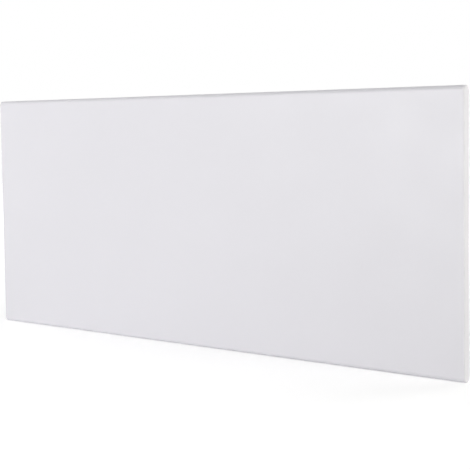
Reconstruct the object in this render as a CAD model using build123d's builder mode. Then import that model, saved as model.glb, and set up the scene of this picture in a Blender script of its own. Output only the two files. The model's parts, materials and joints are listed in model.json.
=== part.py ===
from build123d import *

import os
from math import hypot

# Wall convector heater: a plain folded front panel that overhangs a shallow convection casing.
#
# The wall is the plane Y = 0, the front faces -Y, +X is to the viewer's right and +Z is up.
# The origin is the centre of the four wall screws. All sizes are in millimetres.

os.makedirs("parts", exist_ok=True)

# Front panel, one painted steel sheet with its top and bottom edges rolled back
panel_width = 1020.0
panel_height = 400.0
panel_depth = 13.5
panel_sheet = 1.0
roll_radius = 6.5
side_bend = 2.2
lip_height = 20.0
side_lip = 12.0
window_corner = 5.0
total_depth = 84.0

# Stiffeners spot-welded behind the front sheet
stiffener_spacing = 500.0
stiffener_end_gap = 42.0
stiffener_width = 34.0
stiffener_depth = 5.0
stiffener_foot = 8.0
stiffener_sheet = 0.8
stiffener_bend = 1.2

# Rear casing, one folded sheet closed by a pan at each end
casing_end_inset = 60.0
casing_top_inset = 24.0
casing_sheet = 0.8
casing_bend = 1.6
flange_height = 14.0
wall_gap = 24.0
pan_flange = 12.0
pan_front_gap = 0.3
fit_gap = 0.3
compartment_width = 110.0

# Hex-head sheet screws
screw_radius = 1.75
screw_head_width = 6.0
screw_head_height = 2.2
screw_head_turn = 30.0
screw_length = 7.0
screw_gap = 0.1
panel_screw_count = 3
panel_screw_margin = 70.0
pan_screw_count = 2
pan_screw_inset = 26.0

# Outlet and inlet grilles
grille_width = 36.0
grille_end_margin = 18.0
grille_depth = 8.0
grille_rim = 2.5
grille_rim_thickness = 1.2
grille_wall = 1.2
grille_corner = 2.0
blade_count = 5
blade_chord = 7.4
blade_thickness = 1.0
blade_tilt = 30.0
rib_count = 5
rib_thickness = 1.4

# Vents below the temperature sensor
vent_count = 6
vent_pitch = 9.0
vent_width = 3.6
vent_length = 30.0

# Heat shield
shield_sheet = 0.6
shield_bend = 1.2
shield_gap = 8.0
shield_end_gap = 21.0
shield_foot = 9.0
shield_margin = 6.0

# Heating element: a U-bent sheathed tube in an aluminium extrusion with splayed wings
element_rise = 76.0
element_pitch = 44.0
tube_radius = 4.0
tube_gap = 0.05
tube_stub = 12.0
element_end_margin = 48.0
fin_end_gap = 14.0
hub_radius = 6.4
wing_reach = 16.0
wing_tip = 4.0
wing_angle = 45.0
wing_thickness = 1.4
web_thickness = 2.0
bush_radius = 7.0
bush_flange_radius = 9.5
bush_flange = 3.0
bush_neck = 6.0
seal_length = 5.0
pin_radius = 1.2
pin_length = 8.0
hanger_sheet = 1.0
hanger_bend = 1.5
hanger_foot = 14.0
hanger_margin = 10.0

# Overheat cut-out on the divider
cutout_drop = 72.0
cutout_radius = 8.0
cutout_height = 9.0
cutout_cap_radius = 6.4
cutout_cap_height = 3.0
cutout_flange_length = 30.0
cutout_flange_width = 14.0
cutout_flange_thickness = 0.8
cutout_screw_spacing = 23.0
cutout_tab_spacing = 9.0

# Blade terminals
tab_width = 6.3
tab_thickness = 0.8
tab_length = 8.0

# Control bezel
bezel_length = 64.0
bezel_width = 34.0
bezel_rim = 3.5
bezel_plate = 1.8
bezel_wall = 1.6
bezel_skirt = 9.0
bezel_corner = 3.0
bezel_edge_slope = 0.8
knob_offset = -16.5
lamp_offset = 5.0
switch_offset = 20.0

# Thermostat
thermostat_length = 25.0
thermostat_width = 27.0
thermostat_height = 24.0
thermostat_corner = 1.5
thermostat_tab_spacing = 12.0
thermostat_tab_inset = 4.0
boss_radius = 5.0
boss_height = 5.0
nut_size = 14.0
nut_height = 2.0
shaft_radius = 3.0
shaft_flat = 0.8
shaft_gap = 0.05
shaft_depth = 4.0
shaft_end_gap = 0.3

# Thermostat knob
knob_radius = 12.5
knob_sides = 20
knob_height = 12.0
knob_taper = 4.0
knob_wall = 1.8
knob_top = 2.2
knob_slope = 1.0
knob_floor_gap = 0.6
knob_hub_radius = 5.2
knob_hub_gap = 0.6
knob_shaft_cover = 1.0
pointer_width = 1.6
pointer_height = 0.6

# Indicator lamp
lamp_radius = 3.0
lamp_flange_radius = 4.0
lamp_flange = 1.6
lamp_slope = 0.9
lamp_depth = 12.0
lamp_gap = 0.1

# Rocker switch
switch_length = 19.0
switch_width = 13.0
switch_flange = 1.4
switch_flange_height = 1.8
switch_slope = 0.6
switch_depth = 14.0
switch_gap = 0.1
switch_tab_spacing = 7.0
rocker_length = 16.0
rocker_width = 10.0
rocker_gap = 0.3
rocker_pivot_depth = 2.4
rocker_end_rise = 3.4
rocker_middle_rise = 1.4
rocker_keel = 3.0
rocker_keel_length = 8.0
rocker_tilt = 10.0
rocker_pin_radius = 1.1
rocker_pin_reach = 0.9
rocker_pin_gap = 0.05
cavity_floor_gap = 0.6

# Capillary sensor and its clips
sensor_rise = 48.0
sensor_y = -64.0
sensor_radius = 3.2
sensor_length = 68.0
sensor_standoff = 8.0
capillary_radius = 0.9
capillary_bend = 14.0
capillary_drop = 28.0
capillary_turn_z = 58.0
capillary_run = 56.0
capillary_inset = 5.0
clip_sheet = 0.8
clip_height = 8.0
clip_width = 14.0
clip_spacing = 44.0
clip_gap = 0.05

# Terminal block
block_z = -44.0
block_height = 20.0
block_depth = 16.0
block_base = 5.0
block_pole_count = 3
block_pole_pitch = 12.0
block_pole_width = 9.5
block_hole_width = 4.4
block_well_radius = 2.4
block_well_depth = 4.0
block_screw_radius = 1.9
block_screw_height = 2.0

# Internal leads
wire_radius = 1.3
wire_sides = 8
wire_bend = 9.0
wire_short_bend = 5.0
bridge_drop = 26.0
riser_turn_z = 40.0
riser_join_z = 110.0
feed_offset = 34.0
neutral_rise = 18.0
earth_rise = 34.0

# Earth point on the right-hand end pan
earth_z = -6.0
earth_lug_radius = 5.0
earth_lug_thickness = 1.0
earth_tongue_width = 4.4
earth_tongue_length = 12.0

# Cable inlet bush in the right-hand end pan
inlet_rise = 52.0
inlet_bore = 4.0
inlet_neck_radius = 7.0
inlet_flange_radius = 10.5
inlet_flange = 3.0
inlet_lip_rise = 0.9
inlet_lip_taper = 15.0
inlet_length = 16.0
inlet_gap = 0.05

# Wall bracket: two channel uprights riveted to two crossbars
bracket_sheet = 1.5
bracket_bend = 2.0
bracket_corner = 5.0
upright_spacing = 400.0
upright_height = 264.0
upright_width = 32.0
upright_clearance = 2.0
crossbar_spacing = 180.0
crossbar_height = 28.0
crossbar_overhang = 6.0
wall_screw_spacing = 300.0
wall_slot_width = 6.0
wall_slot_length = 12.0
hook_spacing = 220.0
hook_neck = 8.0
hook_rise = 9.0
hook_tip = 4.0
hook_gap = 1.0
hook_slope = 1.5
hook_slot_width = 4.0
hook_slot_spare = 2.0
rivet_radius = 2.4
rivet_gap = 0.05
rivet_head_radius = 4.0
rivet_head_height = 1.4

# Leaf springs that keep the hung heater from rattling
spring_sheet = 0.6
spring_bend = 1.2
spring_width = 14.0
spring_foot = 26.0
spring_rise = 20.0
spring_nose = 12.0
spring_tail = 8.0
spring_rivet_radius = 1.6
spring_rivet_head = 1.2
spring_rivet_head_radius = 3.0

# Planes and levels worked out from the sizes above
front_y = -total_depth
lip_y = front_y + panel_depth
sheet_back_y = front_y + panel_sheet
window_top = panel_height / 2 - lip_height
stiffener_height = panel_height - 2 * stiffener_end_gap
casing_width = panel_width - 2 * casing_end_inset
casing_height = panel_height - 2 * casing_top_inset
casing_y = -wall_gap
casing_inner_y = casing_y - casing_sheet
casing_top = casing_height / 2
casing_inner_top = casing_top - casing_sheet
casing_end = casing_width / 2
flange_y = lip_y + casing_sheet
flange_top = casing_top + flange_height
panel_screw_z = (window_top + flange_top) / 2
panel_screw_pitch = (casing_width - 2 * panel_screw_margin) / (panel_screw_count - 1)
panel_screw_places = [
    (panel_screw_margin - casing_width / 2 + column * panel_screw_pitch, row * panel_screw_z)
    for column in range(panel_screw_count)
    for row in (1, -1)
]
pan_rear_y = casing_inner_y - fit_gap
pan_front_y = sheet_back_y + pan_front_gap
pan_top = casing_inner_top - fit_gap
pan_inner_x = casing_end - casing_sheet
pan_screw_x = casing_end - casing_sheet - pan_flange / 2
pan_screw_pitch = (casing_height - 2 * pan_screw_inset) / (pan_screw_count - 1)
pan_screw_levels = [(row - (pan_screw_count - 1) / 2) * pan_screw_pitch for row in range(pan_screw_count)]
divider_x = casing_end - compartment_width
divider_right_x = divider_x + casing_sheet
compartment_x = (divider_right_x + pan_inner_x) / 2
casing_screw_places = [(side * pan_screw_x, level) for side in (1, -1) for level in pan_screw_levels]
casing_screw_places.append((compartment_x, block_z))
depth_middle_y = (casing_y + flange_y) / 2

# Levels that follow the casing's height
shield_height = casing_height - 2 * shield_end_gap
element_z = element_rise - casing_top
sensor_z = sensor_rise - casing_top
inlet_z = inlet_rise - casing_top
cutout_z = casing_top - cutout_drop

# Places along the air chamber
grille_left = -pan_inner_x + pan_flange + grille_end_margin
grille_right = divider_x - grille_end_margin
grille_length = grille_right - grille_left
grille_x = (grille_left + grille_right) / 2
grille_neck_length = grille_length - 2 * fit_gap
grille_neck_width = grille_width - 2 * fit_gap
shield_y = casing_inner_y - shield_gap
shield_front_y = shield_y - shield_sheet
element_y = (shield_front_y + sheet_back_y + stiffener_depth) / 2
element_legs = [(element_y, element_z + side * element_pitch / 2) for side in (1, -1)]
bend_x = -pan_inner_x + element_end_margin
fin_left = bend_x + fin_end_gap
fin_right = divider_x - fin_end_gap
tube_end_x = divider_right_x + tube_stub
pin_end_x = tube_end_x + seal_length + pin_length
hanger_x = (bend_x + fin_left) / 2

# Places of the controls
plate_top = casing_top + bezel_plate
knob_x = compartment_x + knob_offset
lamp_x = compartment_x + lamp_offset
switch_x = compartment_x + switch_offset
thermostat_bottom = casing_top - thermostat_height
boss_top = casing_top + bezel_plate + boss_height
knob_bottom = plate_top + knob_floor_gap
knob_hub_bottom = boss_top + knob_hub_gap
shaft_top = knob_bottom + knob_height - knob_shaft_cover - knob_top
switch_top = plate_top + switch_flange_height
switch_bottom = switch_top - switch_depth
pivot_z = switch_top - rocker_pivot_depth
cavity_length = rocker_length + 2 * rocker_gap
cavity_width = rocker_width + 2 * rocker_gap
cavity_depth = rocker_pivot_depth + hypot(rocker_keel_length / 2, rocker_keel) + cavity_floor_gap

# Places of the bracket's hooks
upright_back_y = -bracket_sheet
web_front_y = upright_back_y - bracket_sheet
upright_front_y = casing_y + upright_clearance
hook_back_y = casing_inner_y - hook_gap
hook_front_y = hook_back_y - hook_tip
hook_side = (upright_width - bracket_sheet) / 2
hook_slot_height = hook_neck + hook_rise + hook_slot_spare
hook_levels = (hook_spacing / 2, -hook_spacing / 2)
upright_places = (-upright_spacing / 2, upright_spacing / 2)


def folded_sheet(points, sheet, bend, start, length):
    """Sheet folded along points of its middle surface in the YZ plane, drawn out along X from start."""
    with BuildPart() as folded:
        with BuildSketch(Plane.YZ.offset(start)):
            with BuildLine():
                FilletPolyline(*points, radius=bend)
            trace(line_width=sheet)
        extrude(amount=length)
    return folded.part


def screw_group(plane, places):
    """Hex-head screws whose heads seat on the plane and whose shanks run along its normal."""
    with BuildPart() as screws:
        with BuildSketch(plane):
            with Locations(*places):
                Circle(screw_radius)
        extrude(amount=screw_length)
        with BuildSketch(plane):
            with Locations(*places):
                RegularPolygon(screw_head_width / 2, 6, major_radius=False, rotation=screw_head_turn)
        extrude(amount=-screw_head_height)
    return screws.part


def rivet_group(seat_y, places, radius, length, head_radius, head_height):
    """Flat-head rivets: heads on the -Y side of a seat plane, shanks that run back towards the wall."""
    with BuildPart(Plane.XZ.offset(-seat_y)) as rivets:
        with Locations(*places):
            Cylinder(radius, length, align=(Align.CENTER, Align.CENTER, Align.MAX))
            Cylinder(head_radius, head_height, align=(Align.CENTER, Align.CENTER, Align.MIN))
    return rivets.part


def lead(points, radius, bend):
    """Insulated lead with flats along it, which runs straight between points and turns on tangent arcs."""
    with BuildPart() as wire:
        with BuildLine() as route:
            FilletPolyline(*points, radius=bend)
        with BuildSketch(Plane(origin=route.line @ 0, z_dir=route.line % 0)):
            RegularPolygon(radius, wire_sides)
        sweep(path=route.line)
    return wire.part


# Front panel: a rounded block, hollowed to its sheet and opened at the back
def rolled_block(inset):
    """The front panel's rounded form without its side bends, drawn in by an inset on every side."""
    with BuildPart() as block:
        with BuildSketch(Plane.YZ.offset(inset - panel_width / 2)):
            with Locations(((front_y + lip_y) / 2, 0)):
                RectangleRounded(
                    panel_depth - 2 * inset,
                    panel_height - 2 * inset,
                    roll_radius - inset,
                )
        extrude(amount=panel_width - 2 * inset)
    return block.part


with BuildPart() as panel_hollow:
    add(rolled_block(panel_sheet))
    chamfer(panel_hollow.faces().filter_by(Axis.X).edges(), side_bend - panel_sheet)

with BuildPart() as front_panel:
    add(rolled_block(0))
    fillet(front_panel.faces().filter_by(Axis.X).edges(), side_bend)
    add(panel_hollow.part, mode=Mode.SUBTRACT)
    with BuildSketch(Plane.XZ.offset(-lip_y)):
        RectangleRounded(panel_width - 2 * side_lip, 2 * window_top, window_corner)
    extrude(amount=panel_depth / 2, mode=Mode.SUBTRACT)
    with BuildSketch(Plane.XZ.offset(-lip_y)):
        with Locations(*panel_screw_places):
            Circle(screw_radius + screw_gap)
    extrude(amount=panel_sheet, mode=Mode.SUBTRACT)
front_panel.part.label = "front_panel"
export_step(front_panel.part, "parts/front_panel.step")


# Stiffeners: two upright hat sections behind the front sheet
foot_y = sheet_back_y + stiffener_sheet / 2
crown_y = sheet_back_y + stiffener_depth - stiffener_sheet / 2
crown_half = stiffener_width / 2 - stiffener_foot

with BuildPart() as panel_stiffeners:
    with BuildSketch(Plane.XY.offset(-stiffener_height / 2)):
        with BuildLine():
            FilletPolyline(
                (stiffener_spacing / 2 - stiffener_width / 2, foot_y),
                (stiffener_spacing / 2 - crown_half, foot_y),
                (stiffener_spacing / 2 - crown_half, crown_y),
                (stiffener_spacing / 2 + crown_half, crown_y),
                (stiffener_spacing / 2 + crown_half, foot_y),
                (stiffener_spacing / 2 + stiffener_width / 2, foot_y),
                radius=stiffener_bend,
            )
        trace(line_width=stiffener_sheet)
    extrude(amount=stiffener_height)
    mirror(about=Plane.YZ)
panel_stiffeners.part.label = "panel_stiffeners"
export_step(panel_stiffeners.part, "parts/panel_stiffeners.step")


# Rear casing: one sheet bent into a channel, with flanges turned out against the panel's lips
flange_middle_y = lip_y + casing_sheet / 2
back_middle_y = casing_y - casing_sheet / 2
top_middle_z = casing_top - casing_sheet / 2

with BuildPart() as rear_casing:
    add(
        folded_sheet(
            (
                (flange_middle_y, flange_top),
                (flange_middle_y, top_middle_z),
                (back_middle_y, top_middle_z),
                (back_middle_y, -top_middle_z),
                (flange_middle_y, -top_middle_z),
                (flange_middle_y, -flange_top),
            ),
            casing_sheet,
            casing_bend,
            -casing_end,
            casing_width,
        )
    )
    for level in (casing_inner_top, -casing_top):
        with BuildSketch(Plane.XY.offset(level)):
            with Locations((grille_x, depth_middle_y)):
                RectangleRounded(grille_length, grille_width, grille_corner)
        extrude(amount=casing_sheet, mode=Mode.SUBTRACT)
    with BuildSketch(Plane.XY.offset(casing_inner_top)):
        with Locations((compartment_x, depth_middle_y)):
            RectangleRounded(bezel_length + 2 * fit_gap, bezel_width + 2 * fit_gap, bezel_corner)
    extrude(amount=casing_sheet, mode=Mode.SUBTRACT)
    with BuildSketch(Plane.XY.offset(-casing_top)):
        with Locations((compartment_x, depth_middle_y)):
            with GridLocations(vent_pitch, 0, vent_count, 1):
                Rectangle(vent_width, vent_length)
    extrude(amount=casing_sheet, mode=Mode.SUBTRACT)
    with BuildSketch(Plane.XZ.offset(-casing_y)):
        for place in upright_places:
            for level in hook_levels:
                with Locations((place, level - hook_slot_height / 2)):
                    with GridLocations(2 * hook_side, 0, 2, 1):
                        Rectangle(hook_slot_width, hook_slot_height)
        with Locations(*casing_screw_places):
            Circle(screw_radius + screw_gap)
    extrude(amount=casing_sheet, mode=Mode.SUBTRACT)
    with BuildSketch(Plane.XZ.offset(-flange_y)):
        with Locations(*panel_screw_places):
            Circle(screw_radius + screw_gap)
    extrude(amount=casing_sheet, mode=Mode.SUBTRACT)
rear_casing.part.label = "rear_casing"
export_step(rear_casing.part, "parts/rear_casing.step")


# Pans: flanged plates that close the ends of the casing and part off the wiring compartment
def pan_outline(inset):
    """Cross-section of the casing's inside, with rounded rear corners, drawn in by an inset."""
    with BuildSketch() as outline:
        with Locations((pan_front_y, 0)):
            Rectangle(
                pan_rear_y - inset - pan_front_y,
                2 * (pan_top - inset),
                align=(Align.MIN, Align.CENTER),
            )
        fillet(outline.vertices().group_by(Axis.X)[-1], casing_bend + casing_sheet - inset)
    return outline.sketch


def flanged_pan(plate_x, direction):
    """Plate across the casing with top, bottom and rear flanges that run along X from it."""
    with BuildPart() as pan:
        with BuildSketch(Plane.YZ.offset(plate_x)):
            add(pan_outline(0))
        extrude(amount=direction * pan_flange)
        with BuildSketch(Plane.YZ.offset(plate_x + direction * casing_sheet)):
            add(pan_outline(casing_sheet))
        extrude(amount=direction * pan_flange, mode=Mode.SUBTRACT)
    return pan.part


def rear_flange_holes(place):
    """Screw holes through a pan's rear flange, as a cutting part."""
    with BuildPart(Plane.XZ.offset(-pan_rear_y)) as holes:
        with Locations(*[(place, level) for level in pan_screw_levels]):
            Cylinder(screw_radius + screw_gap, casing_sheet, align=(Align.CENTER, Align.CENTER, Align.MIN))
    return holes.part


with BuildPart() as left_pan:
    add(flanged_pan(-casing_end, 1))
    add(rear_flange_holes(-pan_screw_x), mode=Mode.SUBTRACT)
left_pan.part.label = "left_pan"
export_step(left_pan.part, "parts/left_pan.step")

earth_place = (depth_middle_y, earth_z)
inlet_place = (depth_middle_y, inlet_z)

with BuildPart() as right_pan:
    add(flanged_pan(casing_end, -1))
    add(rear_flange_holes(pan_screw_x), mode=Mode.SUBTRACT)
    with BuildSketch(Plane.YZ.offset(pan_inner_x)):
        with Locations(earth_place):
            Circle(screw_radius + screw_gap)
        with Locations(inlet_place):
            Circle(inlet_neck_radius + inlet_gap)
    extrude(amount=casing_sheet, mode=Mode.SUBTRACT)
right_pan.part.label = "right_pan"
export_step(right_pan.part, "parts/right_pan.step")

cutout_place = (element_y, cutout_z)

with BuildPart() as divider:
    add(flanged_pan(divider_x, 1))
    with BuildSketch(Plane.YZ.offset(divider_x)):
        with Locations(*element_legs):
            Circle(bush_radius + tube_gap)
        with Locations(cutout_place):
            Circle(cutout_cap_radius + screw_gap)
            with GridLocations(0, cutout_screw_spacing, 1, 2):
                Circle(screw_radius + screw_gap)
    extrude(amount=casing_sheet, mode=Mode.SUBTRACT)
divider.part.label = "divider"
export_step(divider.part, "parts/divider.step")


# Outlet grille: a rimmed frame with tilted blades and cross ribs, set into the top of the casing
with BuildPart() as outlet_grille:
    with BuildSketch(Plane.XY.offset(casing_top)):
        with Locations((grille_x, depth_middle_y)):
            RectangleRounded(grille_length + 2 * grille_rim, grille_width + 2 * grille_rim, grille_corner)
            Rectangle(
                grille_neck_length - 2 * grille_wall,
                grille_neck_width - 2 * grille_wall,
                mode=Mode.SUBTRACT,
            )
    extrude(amount=grille_rim_thickness)
    with BuildSketch(Plane.XY.offset(casing_top)):
        with Locations((grille_x, depth_middle_y)):
            RectangleRounded(grille_neck_length, grille_neck_width, grille_corner)
            Rectangle(
                grille_neck_length - 2 * grille_wall,
                grille_neck_width - 2 * grille_wall,
                mode=Mode.SUBTRACT,
            )
    extrude(amount=-grille_depth)
    with BuildSketch(Plane.YZ.offset(grille_x - grille_neck_length / 2 + grille_wall / 2)):
        with Locations((depth_middle_y, casing_top - grille_depth / 2)):
            with GridLocations(grille_neck_width / blade_count, 0, blade_count, 1):
                Rectangle(blade_thickness, blade_chord, rotation=-blade_tilt)
    extrude(amount=grille_neck_length - grille_wall)
    rib_pitch = grille_neck_length / (rib_count + 1)
    with BuildSketch(Plane.XY.offset(casing_top - grille_depth)):
        with Locations((grille_x, depth_middle_y)):
            with GridLocations(rib_pitch, 0, rib_count, 1):
                Rectangle(rib_thickness, grille_neck_width - grille_wall)
    extrude(amount=grille_depth / 2)
outlet_grille.part.label = "outlet_grille"
export_step(outlet_grille.part, "parts/outlet_grille.step")

with BuildPart() as inlet_grille:
    mirror(outlet_grille.part, about=Plane.XY)
inlet_grille.part.label = "inlet_grille"
export_step(inlet_grille.part, "parts/inlet_grille.step")


# Heat shield: a thin sheet held off the casing's back by its joggled feet
foot_middle_y = casing_inner_y - shield_sheet / 2
shield_middle_y = shield_y - shield_sheet / 2
shield_left = -pan_inner_x + pan_flange + shield_margin

with BuildPart() as heat_shield:
    add(
        folded_sheet(
            (
                (foot_middle_y, shield_height / 2 + shield_foot),
                (foot_middle_y, shield_height / 2),
                (shield_middle_y, shield_height / 2),
                (shield_middle_y, -shield_height / 2),
                (foot_middle_y, -shield_height / 2),
                (foot_middle_y, -shield_height / 2 - shield_foot),
            ),
            shield_sheet,
            shield_bend,
            shield_left,
            divider_x - shield_margin - shield_left,
        )
    )
heat_shield.part.label = "heat_shield"
export_step(heat_shield.part, "parts/heat_shield.step")


# Element: the bent tube, its extruded wings and what carries it
with BuildPart() as element_tube:
    with BuildLine(Plane.XZ.offset(-element_y)) as tube_route:
        upper_leg = Line((tube_end_x, element_z + element_pitch / 2), (bend_x, element_z + element_pitch / 2))
        ThreePointArc(
            upper_leg @ 1,
            (bend_x - element_pitch / 2, element_z),
            (bend_x, element_z - element_pitch / 2),
        )
        Line((bend_x, element_z - element_pitch / 2), (tube_end_x, element_z - element_pitch / 2))
    with BuildSketch(Plane(origin=tube_route.line @ 0, z_dir=tube_route.line % 0)):
        Circle(tube_radius)
    sweep(path=tube_route.line)
element_tube.part.label = "element_tube"
export_step(element_tube.part, "parts/element_tube.step")

with BuildPart() as element_fins:
    with BuildSketch(Plane.YZ.offset(fin_left)):
        with Locations((element_y, element_z)):
            Rectangle(web_thickness, element_pitch)
        with Locations(*element_legs):
            Circle(hub_radius)
            with PolarLocations(hub_radius / 2, 4, wing_angle):
                Rectangle(wing_reach + hub_radius / 2, wing_thickness, align=(Align.MIN, Align.CENTER))
            with PolarLocations(hub_radius + wing_reach, 4, wing_angle):
                Rectangle(wing_thickness, wing_tip)
        with Locations(*element_legs):
            Circle(tube_radius + tube_gap, mode=Mode.SUBTRACT)
    extrude(amount=fin_right - fin_left)
element_fins.part.label = "element_fins"
export_step(element_fins.part, "parts/element_fins.step")

with BuildPart(Plane.YZ.offset(divider_right_x)) as element_bushes:
    with Locations(*element_legs):
        Cylinder(bush_flange_radius, bush_flange, align=(Align.CENTER, Align.CENTER, Align.MIN))
        Cylinder(bush_radius, casing_sheet + bush_neck, align=(Align.CENTER, Align.CENTER, Align.MAX))
        Cylinder(tube_radius + tube_gap, panel_width, mode=Mode.SUBTRACT)
element_bushes.part.label = "element_bushes"
export_step(element_bushes.part, "parts/element_bushes.step")

with BuildPart(Plane.YZ.offset(tube_end_x)) as element_seals:
    with Locations(*element_legs):
        Cylinder(tube_radius, seal_length, align=(Align.CENTER, Align.CENTER, Align.MIN))
element_seals.part.label = "element_seals"
export_step(element_seals.part, "parts/element_seals.step")

with BuildPart(Plane.YZ.offset(tube_end_x + seal_length)) as element_pins:
    with Locations(*element_legs):
        Cylinder(pin_radius, pin_length, align=(Align.CENTER, Align.CENTER, Align.MIN))
element_pins.part.label = "element_pins"
export_step(element_pins.part, "parts/element_pins.step")

hanger_half = element_pitch / 2 + tube_radius + hanger_margin
hanger_front_y = element_y - tube_radius - hanger_margin

with BuildPart() as element_hanger:
    with BuildSketch(Plane.XY.offset(element_z - hanger_half)):
        with BuildLine():
            FilletPolyline(
                (hanger_x, hanger_front_y),
                (hanger_x, shield_front_y - hanger_sheet / 2),
                (hanger_x - hanger_foot, shield_front_y - hanger_sheet / 2),
                radius=hanger_bend,
            )
        trace(line_width=hanger_sheet)
    extrude(amount=2 * hanger_half)
    front_corners = element_hanger.edges().filter_by(Axis.X).group_by(Axis.Y)[0]
    fillet(front_corners, bracket_corner)
    with BuildSketch(Plane.YZ.offset(hanger_x - hanger_sheet)):
        with Locations(*element_legs):
            Circle(tube_radius + tube_gap)
    extrude(amount=2 * hanger_sheet, mode=Mode.SUBTRACT)
element_hanger.part.label = "element_hanger"
export_step(element_hanger.part, "parts/element_hanger.step")


# Overheat cut-out: a disc on the divider whose cap reaches through to the warm side
cutout_face_x = divider_right_x + cutout_flange_thickness

with BuildPart() as overheat_cutout:
    with BuildSketch(Plane.YZ.offset(divider_right_x)):
        with Locations(cutout_place):
            SlotOverall(cutout_flange_length, cutout_flange_width, rotation=90)
            with GridLocations(0, cutout_screw_spacing, 1, 2):
                Circle(screw_radius + screw_gap, mode=Mode.SUBTRACT)
    extrude(amount=cutout_flange_thickness)
    with BuildSketch(Plane.YZ.offset(cutout_face_x)):
        with Locations(cutout_place):
            Circle(cutout_radius)
    extrude(amount=cutout_height)
    with BuildSketch(Plane.YZ.offset(divider_right_x)):
        with Locations(cutout_place):
            Circle(cutout_cap_radius)
    extrude(amount=-casing_sheet - cutout_cap_height)
    with BuildSketch(Plane.YZ.offset(cutout_face_x + cutout_height)):
        with Locations(cutout_place):
            with GridLocations(cutout_tab_spacing, 0, 2, 1):
                Rectangle(tab_thickness, tab_width)
    extrude(amount=tab_length)
overheat_cutout.part.label = "overheat_cutout"
export_step(overheat_cutout.part, "parts/overheat_cutout.step")


# Control bezel: a moulded plate with a skirt, set into the top of the casing
with BuildPart() as control_bezel:
    with BuildSketch(Plane.XY.offset(casing_top)):
        with Locations((compartment_x, depth_middle_y)):
            RectangleRounded(bezel_length + 2 * bezel_rim, bezel_width + 2 * bezel_rim, bezel_corner)
    extrude(amount=bezel_plate)
    chamfer(control_bezel.faces().sort_by(Axis.Z)[-1].edges(), bezel_edge_slope)
    with BuildSketch(Plane.XY.offset(casing_top)):
        with Locations((compartment_x, depth_middle_y)):
            RectangleRounded(bezel_length, bezel_width, bezel_corner)
            RectangleRounded(
                bezel_length - 2 * bezel_wall,
                bezel_width - 2 * bezel_wall,
                bezel_corner - bezel_wall,
                mode=Mode.SUBTRACT,
            )
    extrude(amount=-bezel_skirt)
    with BuildSketch(Plane.XY.offset(casing_top)):
        with Locations((knob_x, depth_middle_y)):
            Circle(boss_radius + shaft_gap)
        with Locations((lamp_x, depth_middle_y)):
            Circle(lamp_radius + lamp_gap)
        with Locations((switch_x, depth_middle_y)):
            Rectangle(switch_width + 2 * switch_gap, switch_length + 2 * switch_gap)
    extrude(amount=bezel_plate, mode=Mode.SUBTRACT)
control_bezel.part.label = "control_bezel"
export_step(control_bezel.part, "parts/control_bezel.step")


# Thermostat: a moulded body under the bezel, clamped to it by the nut on its boss
thermostat_tab_y = depth_middle_y - thermostat_width / 2 + thermostat_tab_inset

with BuildPart() as thermostat:
    with BuildSketch(Plane.XY.offset(thermostat_bottom)):
        with Locations((knob_x, depth_middle_y)):
            RectangleRounded(thermostat_length, thermostat_width, thermostat_corner)
    extrude(amount=thermostat_height)
    with BuildSketch(Plane.XY.offset(casing_top)):
        with Locations((knob_x, depth_middle_y)):
            Circle(boss_radius)
    extrude(amount=bezel_plate + boss_height)
    with BuildSketch(Plane.XY.offset(casing_top - shaft_depth)):
        with Locations((knob_x, depth_middle_y)):
            Circle(shaft_radius + shaft_gap)
    extrude(amount=boss_top - casing_top + shaft_depth, mode=Mode.SUBTRACT)
    with BuildSketch(Plane.XY.offset(thermostat_bottom)):
        with Locations((knob_x, thermostat_tab_y)):
            with GridLocations(thermostat_tab_spacing, 0, 2, 1):
                Rectangle(tab_width, tab_thickness)
    extrude(amount=-tab_length)
thermostat.part.label = "thermostat"
export_step(thermostat.part, "parts/thermostat.step")

with BuildPart() as thermostat_nut:
    with BuildSketch(Plane.XY.offset(plate_top)):
        with Locations((knob_x, depth_middle_y)):
            RegularPolygon(nut_size / 2, 6, major_radius=False)
            Circle(boss_radius + shaft_gap, mode=Mode.SUBTRACT)
    extrude(amount=nut_height)
thermostat_nut.part.label = "thermostat_nut"
export_step(thermostat_nut.part, "parts/thermostat_nut.step")


# Thermostat shaft and knob: they turn together about Z
def flatted_circle(radius):
    """Round section with a flat on its +Y side, centred on the knob's axis."""
    with BuildSketch() as section:
        with Locations((knob_x, depth_middle_y)):
            Circle(radius)
        with Locations((knob_x, depth_middle_y + radius - shaft_flat)):
            Rectangle(2 * radius, 2 * radius, align=(Align.CENTER, Align.MIN), mode=Mode.SUBTRACT)
    return section.sketch


with BuildPart() as thermostat_shaft:
    with BuildSketch(Plane.XY.offset(casing_top - shaft_depth + shaft_end_gap)):
        with Locations((knob_x, depth_middle_y)):
            Circle(shaft_radius)
    extrude(amount=knob_hub_bottom - casing_top + shaft_depth - shaft_end_gap)
    with BuildSketch(Plane.XY.offset(knob_hub_bottom)):
        add(flatted_circle(shaft_radius))
    extrude(amount=shaft_top - knob_hub_bottom)
thermostat_shaft.part.label = "thermostat_shaft"
export_step(thermostat_shaft.part, "parts/thermostat_shaft.step")

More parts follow.
